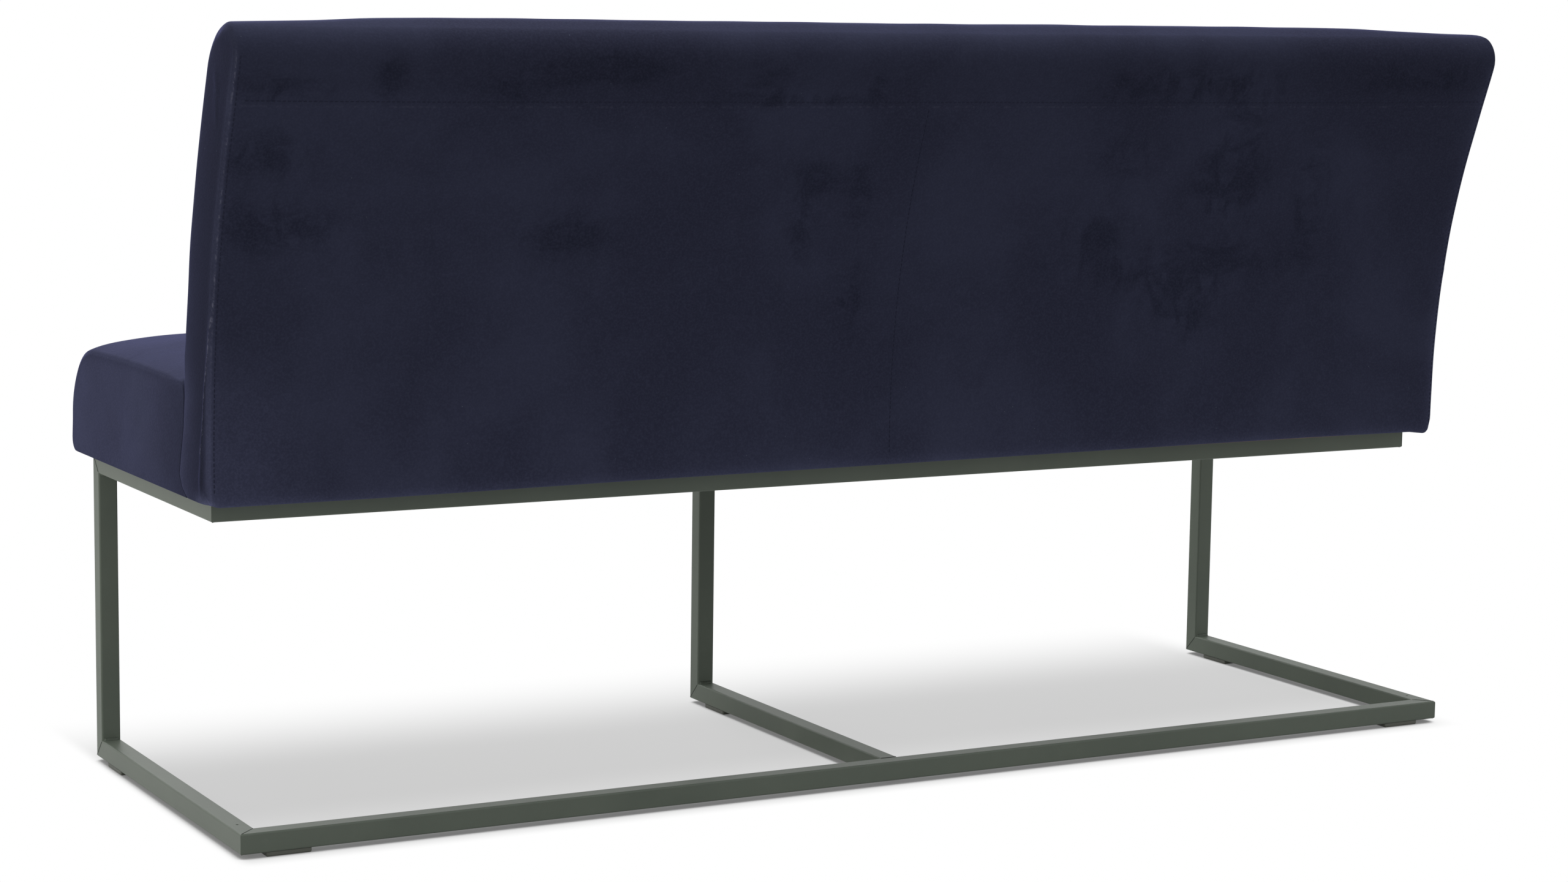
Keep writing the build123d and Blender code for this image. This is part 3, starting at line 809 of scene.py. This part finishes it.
def back_shape(places):
    """Back cushion: X, depth from the rear face and way up the back, to points in the frame."""
    x, inward, along = places.T
    from_end = half_length - np.abs(x)
    drawn = ease(from_end, back_crown_zone, back_crown_power)
    depth = inward / back_depth
    edge = back_rear_edge + (back_front_edge - back_rear_edge) * smooth_step(depth, *back_edge_turn)
    edge = edge + back_foot_edge * fall(along, 0, back_foot_rise) * fall(inward, *back_foot_reach)
    joined = smooth_step(depth, *back_joint_depth) * fall(along, *back_joint_top)
    edge = edge + (joint_edge - edge) * joined
    x, shrink = round_ends(x, rim_distance(inward, along, back_depth, back_length), edge)
    rear = back_rear_draw * drawn + shrink
    free = smooth_step(along, *back_free_height)
    front = back_depth - back_front_draw * drawn * free - shrink - back_swell * settle(from_end)
    rise = back_right_rise * np.clip(-x / half_length, 0, 1)
    sink = back_top_draw * drawn - rise
    top = back_length - sink - shrink
    high = smooth_step(along, back_length - back_draw_height, back_length)
    across = rear + inward * (front - rear) / back_depth
    up = shrink + along * (back_length - 2 * shrink) / back_length - sink * high
    corners = (
        ((rear, top), (-1, 1), back_rear_radius),
        ((front, top), (1, 1), back_front_radius + back_end_round * drawn),
        ((rear, shrink), (-1, -1), back_foot_radius),
        ((front, shrink), (1, -1), back_foot_radius),
    )
    for corner, outward, radius in corners:
        across, up = round_corner(across, up, corner, outward, radius)
    y, z = bend(across, up)
    hanging = fall(along, 0, edge_height) * fall(inward, *edge_depth)
    z = z + np.interp(x, edge_places, edge_moves) * hanging
    return lift_over_dust(warp_fold(np.stack([x, y, z], 1)))


def seat_shape(places):
    """Seat cushion: X, depth from the front and height over the base, to points in the frame."""
    x, inward, height = places.T
    from_end = half_length - np.abs(x)
    drawn = ease(from_end, seat_crown_zone, seat_crown_power)
    soft = smooth_step(height, *seat_soft_height) * smooth_step(seat_depth - inward, *seat_soft_rear)
    edge = joint_edge + (seat_edge - joint_edge) * soft
    x, shrink = round_ends(x, rim_distance(inward, height, seat_depth, seat_height), edge)
    swell = seat_swell * settle(from_end)
    front = seat_front_draw * drawn + shrink + swell
    top = seat_height - seat_crown * drawn - shrink - swell
    across = front + inward * (seat_depth - front) / seat_depth
    up = shrink + height * (top - shrink) / seat_height
    corners = (
        ((front, top), (-1, 1), seat_front_radius + seat_end_round * drawn),
        ((seat_depth, top), (1, 1), seat_rear_radius),
        ((front, shrink), (-1, -1), seat_lower_radius),
        ((seat_depth, shrink), (1, -1), seat_foot_radius),
    )
    for corner, outward, radius in corners:
        across, up = round_corner(across, up, corner, outward, radius)
    middle = (seat_front_radius + seat_depth) / 2
    hollow = np.clip((across - middle) / (seat_depth - middle), -1, 1) ** 2
    up = up - seat_bow * hollow * smooth_step(up, 0, seat_height)
    points = np.stack([x, seat_front_y + across, base_z + up], 1)
    return lift_over_dust(warp_fold(points))


def smoothed(values, quads, held):
    """Even out values over a mesh, with the held points at zero."""
    pairs = np.concatenate([quads[:, [k, (k + 1) % 4]] for k in range(4)])
    pairs = np.concatenate([pairs, pairs[:, ::-1]])
    count = np.bincount(pairs[:, 0], minlength=len(values))
    for step in range(smooth_rounds):
        around = np.bincount(pairs[:, 0], values[pairs[:, 1]], len(values)) / count
        values = np.where(held, 0, (values + around) / 2)
    return values


def vertex_normals(mesh):
    normals = np.zeros(len(mesh.vertices) * 3)
    mesh.vertices.foreach_get("normal", normals)
    return normals.reshape(-1, 3)


def inflate(points, quads, held, caps):
    """Blow up a cover whose seams are held, and return how far each point swells outwards."""
    mesh = bpy.data.meshes.new("cover_test")
    mesh.from_pydata(points.tolist(), [], quads.tolist())
    mesh.update()
    normals = vertex_normals(mesh)
    cover = new_object("cover_test", mesh)
    pins = cover.vertex_groups.new(name="held")
    pins.add(np.flatnonzero(held).tolist(), 1.0, "REPLACE")
    cloth = cover.modifiers.new("cloth", "CLOTH")
    settings = cloth.settings
    settings.quality = 6
    settings.mass = 0.3
    settings.tension_stiffness = 12
    settings.compression_stiffness = 12
    settings.shear_stiffness = 4
    settings.bending_stiffness = 1.5
    settings.use_pressure = True
    settings.uniform_pressure_force = sim_pressure
    settings.vertex_group_mass = "held"
    settings.effector_weights.gravity = 0
    cloth.collision_settings.use_collision = False
    cloth.point_cache.frame_start = 1
    cloth.point_cache.frame_end = sim_frames
    for step in range(1, sim_frames + 1):
        scene.frame_set(step)
    shown = cover.evaluated_get(bpy.context.evaluated_depsgraph_get())
    moved = np.zeros(len(points) * 3)
    shown.data.vertices.foreach_get("co", moved)
    scene.frame_set(1)
    bpy.data.objects.remove(cover)
    outwards = np.clip(((moved.reshape(-1, 3) - points) * normals).sum(1), 0, None)
    outwards = smoothed(caps * np.tanh(outwards / caps), quads, held)
    return normals * outwards[:, None]


def waves(points, strength):
    """Soft unevenness of hand-filled padding, from a few long waves."""
    total = np.zeros(len(points))
    for wave in range(wave_count):
        direction = draws.normal(size=3)
        length = draws.uniform(*wave_lengths)
        phase = draws.uniform(0, 2 * math.pi)
        total += np.sin(points @ (direction / np.linalg.norm(direction)) * 2 * math.pi / length + phase)
    return strength * total / wave_count ** 0.5


def plain_seam(distance):
    """Height of the velvet beside a plain seam."""
    return -groove_depth * bell(distance, 0, groove_width)


def stitched_seam(distance):
    """Height beside a seam whose lip, on the side of positive distance, is stitched down."""
    lip = lip_height * bell(distance, stitch_offset / 2, lip_width)
    dip = stitch_dip * bell(distance, stitch_offset, stitch_width)
    return plain_seam(distance) + lip - dip


def on_rim(value, low, high):
    return (value <= low + tiny) | (value >= high - tiny)


def on_end(x):
    return on_rim(x, -half_length, half_length)


def end_distance(places, depth, height):
    """Distance from the end seam: positive on the long panels and negative on the end panels."""
    x, across, up = places.T
    from_end = half_length - np.abs(x)
    return np.where(from_end > tiny, from_end, -rim_distance(across, up, depth, height))


def even_lines(axis):
    count = round((axis[-1] - axis[0]) / coarse_step) + 1
    return np.linspace(axis[0], axis[-1], max(least_lines, count))


def make_cushion(name, axes, mirrored, shape, held_at, caps_at, relief, looks):
    """Closed cushion: shape, simulated swelling, relief of its seams, and lie and wear of its nap, with the
    painted sheen that its looks carry.
    """
    fine = Lattice(axes, mirrored)
    coarse = Lattice([even_lines(axis) for axis in axes], mirrored)
    start = shape(coarse.places)
    moves = inflate(start, coarse.quads, held_at(coarse.places), caps_at(coarse.places))
    points = shape(fine.places) + fine.spread(moves, coarse)
    piece = add_piece(name, points, fine.quads, velvet_cloth)
    normals = vertex_normals(piece.data)
    points = lift_over_dust(points + normals * relief(fine.places, points)[:, None])
    piece.data.vertices.foreach_set("co", points.ravel())
    for look, values in looks(fine.places).items():
        piece.data.attributes.new(look, "FLOAT", "POINT").data.foreach_set("value", values)
    piece.data.update()
    return piece, fine, points, normals


# Back cushion
def back_held(places):
    """The end seams, the foot, the front behind the seat and the rear panels on their board hold still."""
    x, inward, along = places.T
    seam = on_end(x) & (on_rim(inward, 0, back_depth) | on_rim(along, 0, back_length))
    foot = along <= coarse_step / 2
    behind_seat = (inward >= back_depth - tiny) & (along < seat_height * held_share)
    on_board = (inward <= tiny) & (along < back_seam_along)
    return seam | foot | behind_seat | on_board


def back_caps(places):
    """Most that each panel swells: least at the ends, little over the top, more on the front."""
    x, inward, along = places.T
    front = smooth_step(inward / back_depth, *front_swell_depth)
    front = front * fall(along, back_length - front_swell_top, back_length)
    long_panels = back_top_swell + (back_swell - back_top_swell) * front
    return np.where(on_end(x), end_swell, long_panels)


def pull_ridge(places, start, end, rise):
    """Ridge of a pull on the end panels, from one place (depth, height) to another."""
    x, inward, along = places.T
    line = np.array(end) - np.array(start)
    share = np.clip(((inward - start[0]) * line[0] + (along - start[1]) * line[1]) / (line @ line), 0, 1)
    gap = np.hypot(inward - start[0] - share * line[0], along - start[1] - share * line[1])
    ridge = rise * np.sin(np.pi * share) * bell(gap, 0, pull_width)
    return np.where(on_end(x), ridge, 0)


def stray_distance(places):
    """Distance on the end panels from the seam line that strays from the rear corner low down."""
    x, inward, along = places.T
    line = np.interp(along, stray_heights[::-1], stray_depths[::-1])
    on_panel = on_end(x) & (along < stray_heights[0]) & (along > stray_heights[-1])
    return np.where(on_panel, inward - line, 1.0)


def at_corner(along):
    """How far the end seam still lies on the rear corner, from 0 low down to 1."""
    return smooth_step(along, stray_heights[2], stray_heights[0])


def brush(x, up, marks):
    """How dark brush marks leave the nap, from 0 to 1."""
    dark = np.zeros(len(x))
    for middle, height, length, rise in marks:
        dark += bell(x, middle, length * brush_spread) * bell(up, height, rise * brush_spread)
    return np.clip(brush_base + dark, 0, 1)


def random_marks(low, high):
    """Loose brush marks for a panel that reaches from one way up to another."""
    return [
        (
            draws.uniform(-half_length, half_length), draws.uniform(low, high),
            draws.uniform(*loose_lengths), draws.uniform(*loose_rises),
        )
        for mark in range(loose_marks)
    ]


def painted_sheen_fade(distance, light):
    """Painted sheen: extra lightness of the velvet at a distance from an edge."""
    share, reach = light
    return share * np.exp(-distance / reach)


def below_roll(along):
    """How far the seams still show below the rolled top, from 0 on the roll to 1."""
    return smooth_step(back_length - along, *roll_fade)


def rear_crispness(inward, along):
    """How crisp the end seam is: 1 towards the rear, and 0 on the front and on the roll."""
    return fall(inward / back_depth, *crisp_depth) * below_roll(along)


def back_relief(places, points):
    x, inward, along = places.T
    rear = (inward <= tiny) & (half_length - np.abs(x) > rear_clear)
    from_seam = end_distance(places, back_depth, back_length)
    crisp = rear_crispness(inward, along)
    height = crisp * stitched_seam(from_seam) + (1 - crisp) * front_seam_share * plain_seam(from_seam)
    height += np.where(rear, level_seam_share * stitched_seam(along - back_seam_along), 0)
    below = smooth_step(back_seam_along - along, 0, middle_seam_top)
    height += np.where(rear, below * stitched_seam(-x), 0)
    height += stray_rise * bell(stray_distance(places), 0, stray_width)
    for start, end, rise in pulls:
        height += pull_ridge(places, start, end, rise)
    return height + waves(points, back_unevenness) * smooth_step(along, 0, back_calm)


def back_looks(places):
    """Nap: darker on the end panels. Tone: lighter low down and to the left, with painted sheen along the
    edges. Wear: pale threads on the seams.
    """
    x, inward, along = places.T
    front = smooth_step(inward / back_depth, *nap_front_depth)
    from_left = half_length - x
    below = nap_rear + nap_low * (1 - along / back_seam_along)
    band = nap_rear + (nap_band - nap_rear) * smooth_step(along - back_seam_along, 0, band_blend)
    rear = np.where(along < back_seam_along, below, band) + nap_left * x / half_length
    # Painted sheen: lighter rims along the foot and along the ends of the rear panels.
    rear += painted_sheen_fade(along, foot_painted_sheen) + painted_sheen_fade(along, low_painted_sheen)
    turned = 1 - end_painted_sheen_turn * x / half_length
    rear += painted_sheen_fade(half_length - np.abs(x), end_painted_sheen) * below_roll(along) * turned
    rear += corner_light * fall(from_left, *corner_fade_x) * fall(along, *corner_fade_up)
    nap = rear + (nap_front - rear) * front
    by_seat = smooth_step(inward, by_seat_depth, back_depth) * fall(along, *by_seat_top)
    # On the end panels a painted sheen lightens the front edge.
    panel = nap_back_end + (nap_joint - nap_back_end) * by_seat + painted_sheen_fade(back_depth - inward, side_painted_sheen)
    at_rim = bell(rim_distance(inward, along, back_depth, back_length), 0, nap_rim)
    panel += (nap - panel) * at_rim * (1 - by_seat)
    nap = np.where(on_end(x), panel, nap)
    from_seam = end_distance(places, back_depth, back_length)
    wear = end_seam_wear * bell(from_seam, 0, wear_width) * rear_crispness(inward, along) * at_corner(along)
    wear += bell(stray_distance(places), 0, wear_width)
    wear += np.where(inward <= tiny, level_seam_wear * bell(along, back_seam_along, groove_width), 0)
    front_brush = loose_share * brush(x, along, front_marks)
    marks = np.where(inward < back_depth / 2, brush(x, along, rear_marks), front_brush)
    marks = np.where(on_end(x), 0, marks)
    return {"nap": nap, "wear": np.clip(wear, 0, 1), "brush": marks}


front_marks = random_marks(seat_height, back_length)
back_axes = (
    graded(-half_length, half_length, (-half_length, 0.0, half_length), fine_step),
    graded(0.0, back_depth, (0.0, stray_depths[2], stray_depths[4], back_depth), fine_step),
    graded(0.0, back_length, (0.0, back_seam_along, back_length), upright_step),
)
back_cushion, back_grid, back_points, back_normals = make_cushion(
    "back_cushion", back_axes, True, back_shape, back_held, back_caps, back_relief, back_looks,
)
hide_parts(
    "back_foam_front", "back_foam_rear", "back_cover_front",
    *[f"back_cover_{side}" for side in ("rear_left", "rear_right", "left", "right")],
)


# Seat cushion
def seat_held(places):
    """The end seams, the underside and the face against the back hold still."""
    x, inward, height = places.T
    seam = on_end(x) & (on_rim(inward, 0, seat_depth) | on_rim(height, 0, seat_height))
    return seam | (height <= tiny) | (inward >= seat_depth - coarse_step / 2)


def seat_caps(places):
    return np.where(on_end(places[:, 0]), end_swell, seat_swell)


def seat_relief(places, points):
    x, inward, height = places.T
    seam = seat_seam_share * plain_seam(end_distance(places, seat_depth, seat_height))
    calm = smooth_step(height, 0, seat_calm_foot) * smooth_step(seat_depth - inward, 0, seat_calm_rear)
    return seam + waves(points, seat_unevenness) * calm


def seat_looks(places):
    x, inward, height = places.T
    panel = nap_joint + (nap_seat_end - nap_joint) * smooth_step(seat_depth - inward, 0, joint_blend)
    panel += (nap_seat - panel) * bell(seat_height - height, 0, nap_rim)
    nap = np.where(on_end(x), panel, nap_seat)
    marks = np.where(on_end(x), 0, loose_share * brush(x, inward, seat_marks))
    return {"nap": nap, "wear": np.zeros(len(places)), "brush": marks}


seat_marks = random_marks(0.0, seat_depth)
seat_axes = (
    graded(-half_length, half_length, (-half_length, half_length), fine_step),
    graded(0.0, seat_depth, (0.0, seat_depth), fine_step),
    graded(0.0, seat_height, (0.0, seat_height), upright_step),
)
seat_cushion = make_cushion(
    "seat_cushion", seat_axes, False, seat_shape, seat_held, seat_caps, seat_relief, seat_looks,
)[0]
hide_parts("seat_foam", "seat_cover_top", "seat_cover_left", "seat_cover_right")


# Topstitching on the back
def nearest(axis, place):
    return int(np.argmin(np.abs(axis - place)))


def row_of_stitches(ids):
    """Thread paths of one row of stitches along a line of mesh points."""
    line, out = back_points[ids], back_normals[ids]
    run = np.concatenate(([0], np.cumsum(np.linalg.norm(np.diff(line, axis=0), axis=1))))
    lift = thread_radius * np.array(stitch_lifts)
    paths = []
    for start in np.arange(stitch_pitch / 2, run[-1] - stitch_pitch, stitch_pitch):
        steps = start + stitch_length * np.array(stitch_shares)
        place, normal = [
            np.stack([np.interp(steps, run, values[:, k]) for k in range(3)], 1) for values in (line, out)
        ]
        paths.append(place + normal * lift[:, None])
    return paths


def stitch_back():
    xs, alongs = back_grid.axes[0], back_grid.axes[2]
    ids = back_grid.ids
    seam_row = nearest(alongs, back_seam_along)
    foot_row = nearest(alongs, row_foot)
    roll_row = nearest(alongs, back_length - row_top)
    paths = []
    for side in (-1, 1):
        column = nearest(xs, side * (half_length - stitch_offset))
        paths += row_of_stitches(ids[column, 0, foot_row:roll_row])
    level = nearest(alongs, back_seam_along + stitch_offset)
    inner = [nearest(xs, side * (half_length - row_end)) for side in (-1, 1)]
    paths += row_of_stitches(ids[inner[0]:inner[1], 0, level])
    middle = nearest(xs, -stitch_offset)
    paths += row_of_stitches(ids[middle, 0, foot_row:seam_row])
    add_tubes("back_topstitching", paths, [thread_radius] * len(paths), navy_thread)


stitch_back()


# Weld beads on the frame, and thin dark lines of painted shade along its mitres and joins
def ring_round(centre, first, second, half):
    """Square path with eased corners round a tube, in the plane of two half axes."""
    turns = [(-1, -ring_ease), (-1, ring_ease), (-ring_ease, 1), (ring_ease, 1)]
    turns += [(-a, -b) for a, b in turns]
    path = [centre + half * (a * first + b * second) for a, b in turns]
    return path + path[:1]


def mitre(centre, face, diagonal, half):
    """Lines of a mitred corner across the two faces that look along and against one axis."""
    return [
        [centre + half * (side * face + share * diagonal) for share in (-mitre_reach, 0.0, mitre_reach)]
        for side in (-1, 1)
    ]


def bead(start, end, radius):
    """Rippled weld bead between two points."""
    count = max(4, round((end - start).length / weld_ripple) * 2)
    shares = np.linspace(0, 1, count)
    path = [start.lerp(end, share) for share in shares]
    ripple = 1 + ripple_height * np.cos(np.arange(count) * math.pi)
    ripple = ripple + draws.normal(0, ripple_unevenness, count)
    taper = np.clip(np.minimum(shares, 1 - shares) * count / bead_taper, bead_tip, 1)
    return path, radius * ripple * taper


def weld_frame():
    lines, fillets = [], []
    half = tube / 2
    reach = half * fillet_reach
    seat_z = base_z - half
    floor_z = floor_rail_low.z + half
    leg_y = leg_low.y + half
    rail_x = frame_half - half
    ex, ey, ez = Vector((1, 0, 0)), Vector((0, 1, 0)), Vector((0, 0, 1))
    for x in (-rail_x, 0.0, rail_x):
        lines += mitre(Vector((x, leg_y, floor_z)), ex, ey + ez, half)
        lines += mitre(Vector((x, leg_y, seat_z)), ex, ey - ez, half)
        for z, up in ((floor_z, 1), (seat_z, -1)):
            inner = Vector((0, leg_y + half, z + up * half))
            fillets.append((inner + ex * (x - reach), inner + ex * (x + reach)))
    for side in (-1, 1):
        for y, z in ((floor_rail_high.y - half, floor_z), (frame_rear_y - half, seat_z)):
            corner = Vector((side * rail_x, y, z))
            lines += mitre(corner, ez, ex * side + ey, half)
            inner = Vector((side * (rail_x - half), y - half, z))
            fillets.append((inner - ez * reach, inner + ez * reach))
        for x in (side * half, side * (rail_x - half)):
            lines.append(ring_round(Vector((x, leg_y, seat_z)), ey, ez, half))
    for y, z in ((floor_rail_high.y - tube, floor_z), (frame_rear_y - tube, seat_z)):
        lines.append(ring_round(Vector((0, y, z)), ex, ez, half))
        for side in (-1, 1):
            inner = Vector((side * half, y, z))
            fillets.append((inner - ez * reach, inner + ez * reach))
    # Thin dark lines along the mitres and joins: painted shade of their creases.
    add_tubes("mitre_lines", lines, [mitre_radius] * len(lines), mitre_shade_paint)
    paths, radii = zip(*[bead(start, end, fillet_radius) for start, end in fillets])
    add_tubes("weld_beads", paths, radii, frame_paint, bead_sides)


weld_frame()


# Staples round the dust cover
def staple(centre, along):
    half = along.normalized() * staple_width / 2
    up = Vector((0, 0, staple_radius * staple_leg))
    bent = half * staple_bend
    return [centre - half + up, centre - bent, centre + bent, centre + half + up]


def staple_dust_cover():
    z = dust_low.z - staple_radius * staple_sink
    clear = tube / 2 + staple_width
    rail_front = frame_rear_y - tube - staple_inset
    paths = []
    for x in np.arange(-dust_high.x + staple_start_x, dust_high.x, staple_pitch):
        if abs(x) > clear:
            front = Vector((x, dust_low.y + staple_inset, z))
            paths.append(staple(front, Vector((1, staple_slant, 0))))
            paths.append(staple(Vector((x, rail_front, z)), Vector((1, -staple_slant, 0))))
    for y in np.arange(dust_low.y + staple_start_y, rail_front - staple_end_y, staple_pitch):
        for side in (-1, 1):
            place = Vector((side * (dust_high.x - staple_inset), y, z))
            paths.append(staple(place, Vector((staple_side_slant, 1, 0))))
    add_tubes("dust_cover_staples", paths, [staple_radius] * len(paths), zinc_plate)


staple_dust_cover()


# Stage
def add_floor():
    """Pale floor that keeps the shadow of the bench and runs out into white. Within the bench's footprint
    and close round the frame's foot, part of a darker matte floor shows, so the shadow there is partly
    painted and partly real.
    """
    n = Finish("pale_floor")
    x, y, z = n.fill(n.add("ShaderNodeSeparateXYZ"), Vector=n.place).outputs
    # Painted shadow in the bench's footprint: share of the darker matte floor shown, on top of the real
    # shadow it receives.
    keep = n.ramp(x, shadow_turn_x, frame_half, shadow_share, shadow_share_left)
    left, right, rear = shadow_left_edge, shadow_right_edge, shadow_rear_edge
    limits = (
        (x, frame_half - left[0], frame_half + left[1], 1.0, 0.0),
        (x, -half_length - right[0], -frame_half + right[1]),
        (y, floor_rail_high.y - rear[0], floor_rail_high.y + rear[1], 1.0, 0.0),
        (y, *shadow_front_y),
        (y, shadow_rear_y, floor_rail_low.y, 1.0, shadow_rear_share),
    )
    for limit in limits:
        keep = n.math("MULTIPLY", keep, n.ramp(*limit))
    # Painted contact shadow where the frame closes in on the floor, found by ambient occlusion.
    near = n.fill(n.add("ShaderNodeAmbientOcclusion", samples=16), Distance=contact_reach)
    painted_contact_shadow = n.ramp(near.outputs["AO"], *contact_range, contact_share, 0.0)
    past_end = n.math("SUBTRACT", n.math("ABSOLUTE", x, 0.0), frame_half)
    painted_contact_shadow = n.math("MULTIPLY", painted_contact_shadow, n.ramp(past_end, 0.0, contact_end, 1.0, 0.0))
    keep = n.math("MAXIMUM", keep, painted_contact_shadow)
    matte = n.fill(n.add("ShaderNodeBsdfDiffuse"), Color=floor_colour)
    glow = n.fill(n.add("ShaderNodeEmission"), Color=(1, 1, 1, 1), Strength=1.0)
    white = n.math("MULTIPLY", n.math("SUBTRACT", 1.0, keep), n.seen_directly())
    mix = n.add("ShaderNodeMixShader")
    for socket, value in zip(mix.inputs, (white, matte.outputs[0], glow.outputs[0])):
        n.put(socket, value)
    n.finish(mix)
    reach = floor_size / 2
    mesh = bpy.data.meshes.new("floor")
    corners = [(-reach, -reach, 0), (reach, -reach, 0), (reach, reach, 0), (-reach, reach, 0)]
    mesh.from_pydata(corners, [], [(0, 1, 2, 3)])
    floor = new_object("floor", mesh)
    dress(floor, n.material)


def add_world():
    """Even studio surroundings, white where the camera and reflections see them."""
    world = bpy.data.worlds.new("studio")
    world.use_nodes = True
    scene.world = world
    n = Nodes(world.node_tree, "ShaderNodeOutputWorld")
    strength = n.ramp(n.seen_directly(), 0.0, 1.0, world_strength, 1.0)
    n.finish(n.fill(n.add("ShaderNodeBackground"), Color=(1, 1, 1, 1), Strength=strength))


def add_softbox(name, place, target, size, power, colour):
    data = bpy.data.lights.new(name, "AREA")
    data.shape = "SQUARE"
    data.size = size
    data.energy = power
    data.color = colour
    lamp = new_object(name, data)
    lamp.location = place
    lamp.rotation_mode = "QUATERNION"
    lamp.rotation_quaternion = (Vector(target) - Vector(place)).to_track_quat("-Z", "Y")


add_camera()
add_floor()
add_world()
for lamp in lamps:
    add_softbox(*lamp)
